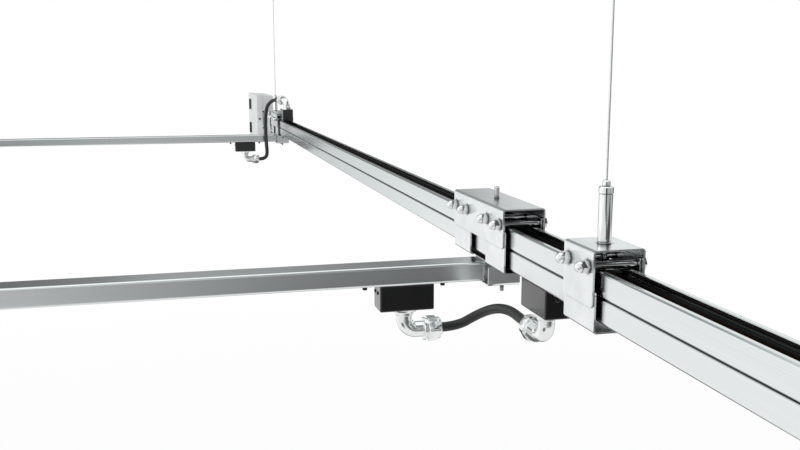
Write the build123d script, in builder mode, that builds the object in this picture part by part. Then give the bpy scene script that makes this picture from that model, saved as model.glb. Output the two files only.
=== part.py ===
from build123d import *
import os
from math import cos, sin, radians, tan, pi

os.makedirs("parts", exist_ok=True)

# Suspended track busway: a double run of slotted track, two laterals, plug-in boxes and an end feed box.
#
# Frame: origin at the top of the near ceiling fitting, Y along the main run, X to its right, Z up.
# Heights named "rise" are measured from the top face of the main run.

# Track section
track_width = 42.9
track_height = 27.2
track_corner = 3.4
lip_edge = 0.8
side_wall = 2.0
base_wall = 2.4
lip_depth = 3.6
slot_width = 27.5
grip_space = 5.0
rib_width = 0.9
rib_height = 1.0
liner_fit = 0.1
liner_side = 5.0
liner_floor = 1.6
bar_thickness = 2.6
bar_height = 4.5
bar_recess = 1.0
bar_fit = 0.05
groove_lip = 0.7
bar_low = 3.0
bar_pitch = 6.4

# Lengths and stations
main_length = 3657.6
main_start = -379.6
lateral_length = 1219.2
lateral_end = 21.0
suspension_drop = 490.0
main_end = main_start + main_length
near_crossing = 327.0
far_crossing_from_end = 512.3
far_hanger_beyond = 183.3
crossing_stations = {"near": near_crossing, "far": main_end - far_crossing_from_end}
hanger_stations = {"near": 0.0, "far": crossing_stations["far"] + far_hanger_beyond}

# Bent sheet brackets
sheet = 2.0
bend_outside = 4.0
bend_inside = bend_outside - sheet
bracket_width = 59.0
saddle_fit = 0.2
saddle_proud = 1.2
hanger_length = 71.0
hanger_rise = 22.5
hanger_skirt = 58.5
hanger_saddle_drop = 62.6
hanger_shoulder_drop = 21.0
hanger_bolt_edge = 11.9
hanger_bolt_offset = hanger_length / 2 - hanger_bolt_edge
crossing_length = 205.6
crossing_rise = 25.3
crossing_skirt = 49.7
crossing_saddle_drop = 61.0
crossing_shoulder_drop = 4.4
crossing_bolt_edge = 11.4
crossing_bolt_pitch = 49.4
crossing_bolt_outer = crossing_length / 2 - crossing_bolt_edge
crossing_bolt_inner = crossing_bolt_outer - crossing_bolt_pitch
crossing_notch = 65.0
crossing_waist = 46.0
tab_margin = 8.0
skirt_corner = 5.0
shoulder_corner = 3.5
notch_corner = 1.0
cut_over = 1.0

# Fasteners
bolt_d = 8.0
bolt_rest = 0.1
bolt_hole_d = 8.4
hex_flats = 13.0
bolt_head = 5.3
acorn_hex = 8.0
acorn_length = 15.0
acorn_dome_d = 12.2
acorn_bore_depth = 12.0
acorn_crown = 0.5
bolt_end_gap = 1.0
thread_fit = 0.05
stud_d = 8.0
stud_shank_d = 7.2
stud_shank_show = 0.6
stud_chamfer = 0.8
stud_collar = 6.0
stud_show = 16.0
grip_plate = 4.5
grip_plate_length = 24.0
grip_plate_corner = 2.0
grip_fit = 0.1
grip_side_fit = 1.0

# Cable gripper, wire and ceiling fitting
gripper_d = 14.8
gripper_height = 61.4
gripper_base = 4.0
gripper_collar_d = 15.8
gripper_collar = 7.0
gripper_groove = 1.2
gripper_groove_d = 13.4
gripper_nozzle_d = 8.3
gripper_nozzle = 6.5
gripper_collar_edge = 1.0
gripper_nozzle_edge = 1.2
gripper_bore_depth = 8.0
wire_d = 2.4
fitting_d = 18.0
fitting_height = 20.0
fitting_neck_d = 9.0
fitting_neck = 7.0
fitting_thread_d = 6.0
fitting_thread_depth = 10.0

# Lateral carrier
carrier_length = 46.8
carrier_center = 1.2
carrier_inside = 60.0
carrier_drop = 94.4
carrier_wall_top = 66.0
carrier_bolt_d = 6.0
carrier_bolt_hole_d = 6.4
carrier_bolt_offset = 26.2
carrier_bolt_tail = 8.5
carrier_bolt_head = 2.6
carrier_bolt_head_d = 11.0
carrier_bolt_edge = 1.2
carrier_bolt_chamfer = 0.6
carrier_notch_width = 8.0
carrier_notch_depth = 9.0
carrier_corner = 3.0

# Plug-in boxes
box_length = 77.0
box_width = 38.0
box_corner = 2.0
box_seat = 0.1
foot_width = 26.9
foot_length = 62.0
foot_reach = 21.5
contact_length = 12.0
contact_pitch = 34.0
contact_height = 2.6
contact_reach = 1.7
base_plate_main = 74.0
base_plate_lateral = 126.0
screw_spacing = 112.0
screw_d = 6.0
screw_height = 2.5
screw_edge = 0.8
under_box_before = 182.0
under_box_height = 37.0
top_box_before = 168.7
top_box_height = 46.0
lateral_box_height = 36.8
lateral_box_x = {"near": -135.0, "far": -145.0}

# Right-angle cord connectors
locknut_d = 25.0
locknut_height = 3.5
hub_d = 22.0
hub_height = 9.0
hub_chamfer = 1.0
hub_overlap = 1.0
elbow_d = 18.6
elbow_bend = 17.0
arm_drop = 32.0
arm_collar_d = 24.0
arm_collar_start = 20.0
arm_collar = 7.0
gland_ring_d = 30.0
gland_ring = 3.0
gland_flats = 31.0
gland_hex = 12.0
gland_dome = 11.0
gland_shoulder = 1.5
gland_mouth_d = 17.0
gland_start = 27.0
cord_d = 13.8
top_arm_turn = 20.0

# End feed box
feed_overlap = 30.0
feed_length = 392.0
feed_half_width = 24.0
feed_height = 205.2
feed_sheet = 1.5
feed_rim = 3.0
lid_depth = 23.6
lid_overlap = 2.4
lid_fit = 0.5
door_length = 290.0
door_gap = 1.5
feed_entry_fit = 0.5
feed_bend = 2.0
feed_edge = 1.8
conduit_hole_d = 28.2
hinge_height = 47.0
hinge_pitch = 110.0
hinge_leaf = 28.0
hinge_sheet = 2.5
knuckle_d = 8.0
hinge_pin_d = 4.0
hinge_pin_fit = 0.05
knuckle_gap = 0.3
lock_d = 9.0
lock_height = 3.0
lock_edge = 1.0

# End caps
cap_plate = 2.0
cap_plug = 8.0
cap_fit = 0.25

# Sizes that follow from the ones above
run_top = -suspension_drop
run_middle = run_top - track_height
run_bottom = run_top - 2 * track_height
cavity_width = track_width - 2 * side_wall
cavity_top = track_height - lip_depth
liner_top = cavity_top - grip_space - rib_height
liner_outside = cavity_width - 2 * liner_fit
liner_inside = liner_outside - 2 * liner_side
bar_face = liner_inside / 2 + bar_recess
lateral_top = run_top - crossing_saddle_drop
lateral_bottom = lateral_top - track_height
lateral_start = lateral_end - lateral_length
bolt_height = run_top + bolt_d / 2 + bolt_rest
saddle_width = bracket_width - 2 * sheet - 2 * saddle_fit


def save(solid, label):
    """Labels a finished piece and writes its file."""
    solid.label = label
    export_step(solid, f"parts/{label}.step")


def section_plane(kind, name=""):
    """Plane at the closed back of a track length: local Y runs towards the slot, local Z along the track."""
    if kind == "upper":
        return Plane(origin=(0, main_start, run_middle), x_dir=(-1, 0, 0), z_dir=(0, 1, 0))
    if kind == "lower":
        return Plane(origin=(0, main_start, run_middle), x_dir=(1, 0, 0), z_dir=(0, 1, 0))
    station = crossing_stations[name]
    return Plane(origin=(lateral_start, station, lateral_top), x_dir=(0, -1, 0), z_dir=(1, 0, 0))


def bracket_plane(station):
    """Plane across the run at a station: local X is X, local Y is up from the run's top."""
    return Plane(origin=(0, station, run_top), x_dir=(1, 0, 0), z_dir=(0, -1, 0))


# Track lengths

def track_housing(plane, length):
    """Extruded aluminium channel with two lips beside the slot and a rib above each side of the liner."""
    with BuildPart() as housing:
        with BuildSketch(plane) as section:
            with Locations((0, track_height / 2)):
                RectangleRounded(track_width, track_height, track_corner)
            with Locations((0, (base_wall + cavity_top) / 2)):
                Rectangle(cavity_width, cavity_top - base_wall, mode=Mode.SUBTRACT)
            with Locations((0, track_height - lip_depth / 2)):
                Rectangle(slot_width, lip_depth, mode=Mode.SUBTRACT)
            mouth = section.vertices().group_by(Axis.Y)[-1]
            fillet(mouth.filter_by_position(Axis.X, -slot_width / 2 - 0.1, slot_width / 2 + 0.1), lip_edge)
            rib_x = (cavity_width - rib_width) / 2
            rib_y = liner_top + rib_height / 2
            with Locations((-rib_x, rib_y), (rib_x, rib_y)):
                Rectangle(rib_width, rib_height)
        extrude(amount=length)
    return housing.part


def bar_heights():
    """Heights of the two conductor bars above the back of the track."""
    low = base_wall + bar_low + bar_height / 2
    return low, low + bar_pitch


def track_liner(plane, length):
    """Black insulating trough with a keyed groove for each of the four conductor bars."""
    pocket = bar_thickness + 2 * bar_fit
    pocket_x = bar_face + bar_thickness / 2
    mouth_x = liner_inside / 2 + bar_recess / 2
    bottom = base_wall + liner_fit
    top = liner_top - liner_fit
    with BuildPart() as liner:
        with BuildSketch(plane):
            with Locations((0, (bottom + top) / 2)):
                Rectangle(liner_outside, top - bottom)
            with Locations((0, (bottom + liner_floor + top) / 2)):
                Rectangle(liner_inside, top - bottom - liner_floor, mode=Mode.SUBTRACT)
            for height in bar_heights():
                with Locations((-pocket_x, height), (pocket_x, height)):
                    Rectangle(pocket, bar_height + 2 * bar_fit, mode=Mode.SUBTRACT)
                with Locations((-mouth_x, height), (mouth_x, height)):
                    Rectangle(bar_recess, bar_height - 2 * groove_lip, mode=Mode.SUBTRACT)
        extrude(amount=length)
    return liner.part


def track_conductors(plane, length):
    """Four copper bars, two in each side of the liner."""
    bar_x = bar_face + bar_thickness / 2
    with BuildPart() as bars:
        with BuildSketch(plane):
            for height in bar_heights():
                with Locations((-bar_x, height), (bar_x, height)):
                    Rectangle(bar_thickness, bar_height)
        extrude(amount=length)
    return bars.part


def end_cap(plane):
    """Plastic cap whose plate covers the section and whose plug enters the liner; the plane's Z points out."""
    bottom = base_wall + liner_fit + liner_floor + cap_fit
    top = cavity_top - cap_fit
    with BuildPart() as cap:
        with BuildSketch(plane):
            with Locations((0, track_height / 2)):
                RectangleRounded(track_width, track_height - cap_fit, track_corner)
        extrude(amount=cap_plate)
        fillet(cap.faces().sort_by(Axis(plane.origin, plane.z_dir))[-1].edges(), cap_plate / 3)
        with BuildSketch(plane):
            with Locations((0, (bottom + top) / 2)):
                Rectangle(liner_inside - 2 * cap_fit, top - bottom)
        extrude(amount=-cap_plug)
    return cap.part


def facing(plane, distance, turned):
    """The section plane moved along the track, with its Z pointing out of the end that a cap closes."""
    moved = plane.offset(distance)
    if turned:
        return Plane(origin=moved.origin, x_dir=-moved.x_dir, z_dir=-moved.z_dir)
    return moved


upper = section_plane("upper")
lower = section_plane("lower")
for label, plane in (("main_upper", upper), ("main_lower", lower)):
    save(track_housing(plane, main_length), f"{label}_housing")
    save(track_liner(plane, main_length), f"{label}_liner")

with BuildPart() as main_conductors:
    add(track_conductors(upper, main_length))
    add(track_conductors(lower, main_length))
save(main_conductors.part, "main_conductors")

with BuildPart() as main_end_caps:
    add(end_cap(facing(upper, 0, True)))
    add(end_cap(facing(lower, 0, True)))
save(main_end_caps.part, "main_end_caps")

for side in crossing_stations:
    plane = section_plane("lateral", side)
    save(track_housing(plane, lateral_length), f"lateral_{side}_housing")
    save(track_liner(plane, lateral_length), f"lateral_{side}_liner")
    save(track_conductors(plane, lateral_length), f"lateral_{side}_conductors")
    with BuildPart() as caps:
        add(end_cap(facing(plane, 0, True)))
        add(end_cap(facing(plane, lateral_length, False)))
    save(caps.part, f"lateral_{side}_end_caps")


# Bent sheet brackets

def bracket_cap(station, length, rise, skirt, bolt_offsets):
    """Inverted U of bent sheet over the run, with cross bolt holes in its walls and a stud hole in its top."""
    with BuildPart() as cap:
        with BuildSketch(bracket_plane(station)) as profile:
            with Locations((0, rise - (skirt + sheet) / 2)):
                Rectangle(bracket_width, skirt + sheet)
            fillet(profile.vertices().group_by(Axis.Y)[-1], bend_outside)
            with BuildSketch(mode=Mode.PRIVATE) as inside:
                with Locations((0, rise - sheet - skirt / 2)):
                    Rectangle(bracket_width - 2 * sheet, skirt)
                fillet(inside.vertices().group_by(Axis.Y)[-1], bend_inside)
            add(inside.sketch, mode=Mode.SUBTRACT)
        extrude(amount=length / 2, both=True)
        fillet(cap.edges().filter_by(Axis.X).group_by(Axis.Z)[0], skirt_corner)
        with BuildSketch(Plane.YZ.offset(-bracket_width)):
            with Locations(*[(station + offset, bolt_height) for offset in bolt_offsets]):
                Circle(bolt_hole_d / 2)
        extrude(amount=2 * bracket_width, mode=Mode.SUBTRACT)
        with BuildSketch(Plane.XY.offset(run_top + rise)):
            with Locations((0, station)):
                Circle(bolt_hole_d / 2)
        extrude(amount=-2 * sheet, mode=Mode.SUBTRACT)
    return cap.part


def saddle_blank(station, length, drop, shoulder_drop, tabs, bolt_offsets):
    """Upright U of bent sheet inside the cap's walls; a tab of each wall reaches up to the cross bolts."""
    tab_top = bolt_height - run_top + tab_margin
    half = length / 2 + saddle_proud
    with BuildPart() as saddle:
        with BuildSketch(bracket_plane(station)) as profile:
            with Locations((0, (tab_top - drop) / 2)):
                Rectangle(saddle_width, tab_top + drop)
            fillet(profile.vertices().group_by(Axis.Y)[0], bend_outside)
            with BuildSketch(mode=Mode.PRIVATE) as inside:
                with Locations((0, (tab_top - drop + sheet) / 2)):
                    Rectangle(saddle_width - 2 * sheet, tab_top + drop - sheet)
                fillet(inside.vertices().group_by(Axis.Y)[0], bend_inside)
            add(inside.sketch, mode=Mode.SUBTRACT)
        extrude(amount=half, both=True)
        with BuildSketch(Plane.YZ.offset(-bracket_width)) as above:
            edges_y = [-half - cut_over] + [edge for tab in tabs for edge in tab] + [half + cut_over]
            low = run_top - shoulder_drop
            high = run_top + tab_top + cut_over
            for start, end in zip(edges_y[0::2], edges_y[1::2]):
                with Locations((station + (start + end) / 2, (low + high) / 2)):
                    Rectangle(end - start, high - low)
        extrude(amount=2 * bracket_width, mode=Mode.SUBTRACT)
        shoulder = saddle.edges().filter_by(Axis.X).filter_by_position(Axis.Z, low - 0.1, low + 0.1)
        ends = shoulder.filter_by_position(Axis.Y, station - half - 0.1, station - half + 0.1)
        ends += shoulder.filter_by_position(Axis.Y, station + half - 0.1, station + half + 0.1)
        fillet(ends, shoulder_corner)
        fillet(saddle.edges().filter_by(Axis.X).group_by(Axis.Z)[-1], shoulder_corner)
        with BuildSketch(Plane.YZ.offset(-bracket_width)):
            with Locations(*[(station + offset, bolt_height) for offset in bolt_offsets]):
                Circle(bolt_hole_d / 2)
        extrude(amount=2 * bracket_width, mode=Mode.SUBTRACT)
    return saddle.part


def cross_bolts(stations_and_offsets):
    """Hexagon-headed bolts across the run, resting on its lips, with their heads on the right side."""
    points = [(station + offset, bolt_height) for station, offset in stations_and_offsets]
    reach = bracket_width / 2 + acorn_bore_depth - bolt_end_gap
    with BuildPart() as bolts:
        with BuildSketch(Plane.YZ.offset(bracket_width / 2)):
            with Locations(*points):
                RegularPolygon(hex_flats / 2, 6, major_radius=False)
        extrude(amount=bolt_head)
        with BuildSketch(Plane.YZ.offset(bracket_width / 2)):
            with Locations(*points):
                Circle(bolt_d / 2)
        extrude(amount=-bracket_width / 2 - reach)
    return bolts.part


def acorn_nuts(stations_and_offsets):
    """Domed nuts on the left side, bored for the bolts."""
    points = [(station + offset, bolt_height) for station, offset in stations_and_offsets]
    face = Plane.YZ.offset(-bracket_width / 2)
    with BuildPart() as nuts:
        with BuildSketch(face):
            with Locations(*points):
                Circle(acorn_dome_d / 2)
        extrude(amount=-acorn_length)
        fillet(nuts.edges().group_by(Axis.X)[0], acorn_dome_d / 2 - acorn_crown)
        with BuildSketch(face):
            with Locations(*points):
                RegularPolygon(hex_flats / 2, 6, major_radius=False)
        extrude(amount=-acorn_hex)
        with BuildSketch(face):
            with Locations(*points):
                Circle(bolt_d / 2 + thread_fit)
        extrude(amount=-acorn_bore_depth, mode=Mode.SUBTRACT)
    return nuts.part


def grip_stud(station, collar_top, top):
    """T-plate under the lips of the upper slot, with a shank, a hexagon collar under the bracket and a thread."""
    plate_top = run_top - lip_depth - grip_fit
    thread_bottom = collar_top + sheet + stud_shank_show
    with BuildPart() as stud:
        with BuildSketch(Plane.XY.offset(plate_top)):
            with Locations((0, station)):
                RectangleRounded(cavity_width - 2 * grip_side_fit, grip_plate_length, grip_plate_corner)
        extrude(amount=-grip_plate)
        with BuildSketch(Plane.XY.offset(plate_top)):
            with Locations((0, station)):
                Circle(stud_shank_d / 2)
        extrude(amount=thread_bottom - plate_top)
        with BuildSketch(Plane.XY.offset(thread_bottom)):
            with Locations((0, station)):
                Circle(stud_d / 2)
        extrude(amount=top - thread_bottom)
        with BuildSketch(Plane.XY.offset(collar_top)):
            with Locations((0, station)):
                RegularPolygon(hex_flats / 2, 6, major_radius=False)
        extrude(amount=-stud_collar)
        chamfer(stud.edges().group_by(Axis.Z)[-1], stud_chamfer)
    return stud.part


# Hangers

def cable_gripper(station):
    """Turned gripper body with a hexagon foot bored for the stud, a grooved collar and a nozzle."""
    base = run_top + hanger_rise
    radius = gripper_d / 2
    neck = base + gripper_height - gripper_collar
    tip = base + gripper_height + gripper_nozzle
    with BuildPart() as gripper:
        with BuildSketch(Plane.XY.offset(base)):
            with Locations((0, station)):
                RegularPolygon(gripper_d / 2, 6, major_radius=False)
        extrude(amount=gripper_base)
        with BuildSketch(Plane.XZ.offset(-station)):
            with BuildLine():
                Polyline(
                    (0, base + gripper_base), (radius, base + gripper_base), (radius, neck - gripper_groove),
                    (gripper_groove_d / 2, neck - gripper_groove), (gripper_groove_d / 2, neck),
                    (gripper_collar_d / 2, neck),
                    (gripper_collar_d / 2, base + gripper_height - gripper_collar_edge),
                    (gripper_collar_d / 2 - gripper_collar_edge, base + gripper_height),
                    (gripper_nozzle_d / 2, base + gripper_height),
                    (gripper_nozzle_d / 2, tip - gripper_nozzle_edge),
                    (gripper_nozzle_d / 2 - gripper_nozzle_edge, tip), (0, tip), close=True,
                )
            make_face()
        revolve(axis=Axis((0, station, 0), (0, 0, 1)))
        with BuildSketch(Plane.XY.offset(base)):
            with Locations((0, station)):
                Circle(stud_d / 2 + thread_fit)
        extrude(amount=gripper_bore_depth, mode=Mode.SUBTRACT)
    return gripper.part


def suspension_wire(station):
    """Straight steel wire from the gripper's nozzle to the ceiling fitting."""
    bottom = run_top + hanger_rise + gripper_height + gripper_nozzle
    with BuildPart() as wire:
        with BuildSketch(Plane.XY.offset(bottom)):
            with Locations((0, station)):
                Circle(wire_d / 2)
        extrude(amount=-fitting_height - bottom)
    return wire.part


def ceiling_fitting(station):
    """Turned ceiling fitting with a threaded hole in its top and a narrower neck for the wire."""
    with BuildPart() as fitting:
        with BuildSketch(Plane.XZ.offset(-station)):
            with BuildLine():
                Polyline(
                    (0, 0), (fitting_d / 2, 0), (fitting_d / 2, fitting_neck - fitting_height),
                    (fitting_neck_d / 2, -fitting_height), (0, -fitting_height), close=True,
                )
            make_face()
        revolve(axis=Axis((0, station, 0), (0, 0, 1)))
        with BuildSketch(Plane.XY):
            with Locations((0, station)):
                Circle(fitting_thread_d / 2)
        extrude(amount=-fitting_thread_depth, mode=Mode.SUBTRACT)
    return fitting.part


hanger_bolts = (-hanger_bolt_offset, hanger_bolt_offset)
hanger_tab = hanger_bolt_offset + tab_margin
for side, station in hanger_stations.items():
    under_cap = run_top + hanger_rise - sheet
    save(bracket_cap(station, hanger_length, hanger_rise, hanger_skirt, hanger_bolts), f"hanger_{side}_cap")
    save(
        saddle_blank(
            station, hanger_length, hanger_saddle_drop, hanger_shoulder_drop,
            [(-hanger_tab, hanger_tab)], hanger_bolts,
        ),
        f"hanger_{side}_saddle",
    )
    stud_top = run_top + hanger_rise + gripper_bore_depth - bolt_end_gap
    save(grip_stud(station, under_cap, stud_top), f"hanger_{side}_stud")
    save(cable_gripper(station), f"hanger_{side}_gripper")
    save(suspension_wire(station), f"hanger_{side}_wire")
    save(ceiling_fitting(station), f"hanger_{side}_ceiling_fitting")

hanger_bolt_places = [(station, offset) for station in hanger_stations.values() for offset in hanger_bolts]
save(cross_bolts(hanger_bolt_places), "hanger_cross_bolts")
save(acorn_nuts(hanger_bolt_places), "hanger_acorn_nuts")


# Crossing brackets

def crossing_saddle(station, bolt_offsets):
    """Saddle with two legs: its walls and bends are notched away between them, leaving a narrow bottom."""
    tab_in = crossing_bolt_inner - tab_margin
    tab_out = crossing_bolt_outer + tab_margin
    blank = saddle_blank(
        station, crossing_length, crossing_saddle_drop, crossing_shoulder_drop,
        [(-tab_out, tab_out)], bolt_offsets,
    )
    side = bracket_width / 2
    with BuildPart() as saddle:
        add(blank)
        with BuildSketch(Plane.XY.offset(run_top - crossing_saddle_drop - cut_over)):
            for way in (-1, 1):
                with Locations((way * (crossing_waist / 2 + side / 2), station)):
                    Rectangle(side, crossing_notch)
        extrude(amount=crossing_saddle_drop + bracket_width, mode=Mode.SUBTRACT)
        notch_ends = saddle.edges().filter_by(Axis.X).group_by(Axis.Z)[-1]
        inner = notch_ends.filter_by_position(Axis.Y, station - tab_in, station + tab_in)
        fillet(inner, notch_corner)
        with BuildSketch(Plane.XY.offset(run_top - crossing_saddle_drop)):
            with Locations((0, station - carrier_bolt_offset), (0, station + carrier_bolt_offset)):
                Circle(carrier_bolt_hole_d / 2)
        extrude(amount=sheet, mode=Mode.SUBTRACT)
    return saddle.part


def lateral_carrier(station):
    """U of bent sheet under the lateral, hung on two bolts, with a notch in each wall beside the bolt."""
    bottom = run_top - carrier_drop
    top = run_top - carrier_wall_top
    middle = (top + bottom) / 2
    outside = carrier_inside + 2 * sheet
    cross = Plane(origin=(carrier_center, station, 0), x_dir=(0, 1, 0), z_dir=(1, 0, 0))
    with BuildPart() as carrier:
        with BuildSketch(cross) as profile:
            with Locations((0, middle)):
                Rectangle(outside, top - bottom)
            fillet(profile.vertices().group_by(Axis.Y)[0], bend_outside)
            with BuildSketch(mode=Mode.PRIVATE) as inside:
                with Locations((0, middle + sheet / 2)):
                    Rectangle(carrier_inside, top - bottom - sheet)
                fillet(inside.vertices().group_by(Axis.Y)[0], bend_inside)
            add(inside.sketch, mode=Mode.SUBTRACT)
        extrude(amount=carrier_length / 2, both=True)
        fillet(carrier.edges().filter_by(Axis.Y).group_by(Axis.Z)[-1], carrier_corner)
        with BuildSketch(Plane.XZ.offset(-station - outside)):
            with Locations((0, top)):
                SlotOverall(2 * carrier_notch_depth, carrier_notch_width, rotation=90)
        extrude(amount=2 * outside, mode=Mode.SUBTRACT)
        with BuildSketch(Plane.XY.offset(bottom)):
            with Locations((0, station - carrier_bolt_offset), (0, station + carrier_bolt_offset)):
                Circle(carrier_bolt_hole_d / 2)
            with Locations((0, station)):
                Circle(bolt_hole_d / 2)
        extrude(amount=bend_outside, mode=Mode.SUBTRACT)
    return carrier.part


def carrier_bolts(station):
    """Two bolts through the saddle's waist and the carrier's floor, with a nut on each under the floor."""
    head_bottom = run_top - crossing_saddle_drop + sheet
    tail = run_top - carrier_drop - carrier_bolt_tail
    points = ((0, station - carrier_bolt_offset), (0, station + carrier_bolt_offset))
    with BuildPart() as bolts:
        with BuildSketch(Plane.XY.offset(head_bottom)):
            with Locations(*points):
                Circle(carrier_bolt_head_d / 2)
        extrude(amount=carrier_bolt_head)
        fillet(bolts.edges().group_by(Axis.Z)[-1], carrier_bolt_edge)
        with BuildSketch(Plane.XY.offset(head_bottom)):
            with Locations(*points):
                Circle(carrier_bolt_d / 2)
        extrude(amount=tail - head_bottom)
        chamfer(bolts.edges().group_by(Axis.Z)[0], carrier_bolt_chamfer)
    return bolts.part


def carrier_grip(station):
    """T-plate inside the lateral's slot, with a collar that fills the gap down to the carrier's floor."""
    plate_bottom = lateral_bottom + lip_depth + grip_fit
    floor_inside = run_top - carrier_drop + sheet
    with BuildPart() as grip:
        with BuildSketch(Plane.XY.offset(plate_bottom)):
            with Locations((0, station)):
                RectangleRounded(grip_plate_length, cavity_width - 2 * grip_side_fit, grip_plate_corner)
        extrude(amount=grip_plate)
        with BuildSketch(Plane.XY.offset(plate_bottom)):
            with Locations((0, station)):
                Circle(hex_flats / 2)
        extrude(amount=floor_inside - plate_bottom)
        with BuildSketch(Plane.XY.offset(floor_inside)):
            with Locations((0, station)):
                Circle(stud_shank_d / 2)
        extrude(amount=-sheet)
        with BuildSketch(Plane.XY.offset(floor_inside - sheet)):
            with Locations((0, station)):
                Circle(carrier_bolt_head_d / 2)
        extrude(amount=-carrier_bolt_head)
    return grip.part


crossing_bolts = (-crossing_bolt_outer, -crossing_bolt_inner, crossing_bolt_inner, crossing_bolt_outer)
for side, station in crossing_stations.items():
    under_cap = run_top + crossing_rise - sheet
    save(
        bracket_cap(station, crossing_length, crossing_rise, crossing_skirt, crossing_bolts),
        f"crossing_{side}_cap",
    )
    save(crossing_saddle(station, crossing_bolts), f"crossing_{side}_saddle")
    save(grip_stud(station, under_cap, run_top + crossing_rise + stud_show), f"crossing_{side}_stud")
    save(lateral_carrier(station), f"crossing_{side}_carrier")
    save(carrier_bolts(station), f"crossing_{side}_carrier_bolts")
    save(carrier_grip(station), f"crossing_{side}_carrier_grip")

crossing_bolt_places = [(station, offset) for station in crossing_stations.values() for offset in crossing_bolts]
save(cross_bolts(crossing_bolt_places), "crossing_cross_bolts")
save(acorn_nuts(crossing_bolt_places), "crossing_acorn_nuts")


# Plug-in boxes

def plug_box(seat, height, plate_length):
    """Moulded box against the track's lips; its plate fills the slot and its foot carries four contacts.

    The seat plane lies on the lips, its Z points away from the track and its X along the track.
    """
    bar_levels = [track_height - level for level in bar_heights()]
    with BuildPart() as box:
        with BuildSketch(seat.offset(box_seat)):
            Rectangle(box_length, box_width)
        extrude(amount=height - box_seat)
        fillet(box.edges(), box_corner)
        with BuildSketch(seat.offset(box_seat + box_corner)):
            Rectangle(foot_length, foot_width)
        extrude(amount=-foot_reach - box_corner)
        with BuildSketch(seat):
            Rectangle(plate_length, foot_width)
        extrude(amount=-lip_depth)
        for level in bar_levels:
            with BuildSketch(seat.offset(-level - contact_height / 2)):
                with GridLocations(contact_pitch, 0, 2, 1):
                    Rectangle(contact_length, foot_width + 2 * contact_reach)
            extrude(amount=contact_height)
    return box.part


under_station = crossing_stations["near"] - under_box_before
top_station = crossing_stations["far"] - top_box_before
under_seat = Plane(origin=(0, under_station, run_bottom), x_dir=(0, 1, 0), z_dir=(0, 0, -1))
top_seat = Plane(origin=(0, top_station, run_top), x_dir=(0, 1, 0), z_dir=(0, 0, 1))
lateral_seats = {
    side: Plane(origin=(lateral_box_x[side], station, lateral_bottom), x_dir=(1, 0, 0), z_dir=(0, 0, -1))
    for side, station in crossing_stations.items()
}
save(plug_box(under_seat, under_box_height, base_plate_main), "plug_main_under")
save(plug_box(top_seat, top_box_height, base_plate_main), "plug_main_top")
for side, seat in lateral_seats.items():
    save(plug_box(seat, lateral_box_height, base_plate_lateral), f"plug_lateral_{side}")

with BuildPart() as lock_screws:
    for seat in lateral_seats.values():
        with BuildSketch(seat):
            with GridLocations(screw_spacing, 0, 2, 1):
                Circle(screw_d / 2)
        extrude(amount=screw_height)
    fillet(lock_screws.edges().group_by(Axis.Z)[0], screw_edge)
save(lock_screws.part, "lock_screws")


# Cord connectors

def connector(face, heading):
    """Right-angle connector: locknut and hub on the box face, elbow, and a collared arm.

    The face plane's Z points out of the box; heading is the unit direction of the arm.
    """
    out = face.z_dir
    start = face.origin
    corner = start + out * arm_drop
    arm_end = corner + heading * gland_start
    with BuildPart() as elbow:
        with BuildSketch(face):
            Circle(locknut_d / 2)
        extrude(amount=locknut_height)
        with BuildSketch(face.offset(locknut_height)):
            Circle(hub_d / 2)
        extrude(amount=hub_height - locknut_height)
        chamfer(elbow.edges().filter_by(GeomType.CIRCLE).sort_by(Axis(start, out))[-1], hub_chamfer)
        with BuildLine() as path:
            FilletPolyline(start + out * (hub_height - hub_overlap), corner, arm_end, radius=elbow_bend)
        with BuildSketch(face.offset(hub_height - hub_overlap)):
            Circle(elbow_d / 2)
        sweep(path=path.line)
        with BuildSketch(Plane(origin=corner + heading * arm_collar_start, z_dir=heading)):
            Circle(arm_collar_d / 2)
        extrude(amount=arm_collar)
    return elbow.part, Plane(origin=arm_end, z_dir=heading)


def gland_nut(mouth):
    """Compression nut: ring, hexagon and a dome that closes on the cord."""
    with BuildPart() as nut:
        with BuildSketch(mouth):
            Circle(gland_ring_d / 2)
        extrude(amount=gland_ring)
        with BuildSketch(mouth.offset(gland_ring)):
            RegularPolygon(gland_flats / 2, 6, major_radius=False)
        extrude(amount=gland_hex)
        with BuildSketch(mouth.offset(gland_ring + gland_hex)):
            Circle(gland_flats / 2 - gland_shoulder)
        with BuildSketch(mouth.offset(gland_ring + gland_hex + gland_dome)):
            Circle(gland_mouth_d / 2)
        loft()
    return nut.part


def toward(degrees):
    """Unit direction in the level plane, turned from +Y towards -X."""
    return Vector(-sin(radians(degrees)), cos(radians(degrees)), 0)


under_face = under_seat.offset(under_box_height)
top_face = top_seat.offset(top_box_height)
right = Vector(1, 0, 0)
jumper_faces = {
    "near": ((under_face, toward(0)), (lateral_seats["near"].offset(lateral_box_height), right)),
    "far": ((top_face, toward(top_arm_turn)), (lateral_seats["far"].offset(lateral_box_height), right)),
}
cord_mouths = {}
for side, ends in jumper_faces.items():
    with BuildPart() as connectors:
        mouths = []
        for face, heading in ends:
            elbow, mouth = connector(face, heading)
            add(elbow)
            mouths.append(mouth)
    save(connectors.part, f"connectors_{side}")
    with BuildPart() as glands:
        for mouth in mouths:
            add(gland_nut(mouth))
    save(glands.part, f"gland_nuts_{side}")
    exit_offset = gland_ring + gland_hex + gland_dome
    cord_mouths[side] = [mouth.offset(exit_offset) for mouth in mouths]


# Jumper cords

def cord_radii(points):
    """Arc radius at each corner: 0.45 of the shorter run over the tangent of half the turn."""
    radii = []
    for before, here, after in zip(points, points[1:], points[2:]):
        turn = radians((here - before).get_angle(after - here))
        shorter = min((here - before).length, (after - here).length)
        radii.append(0.45 * shorter / tan(turn / 2))
    return radii


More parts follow.
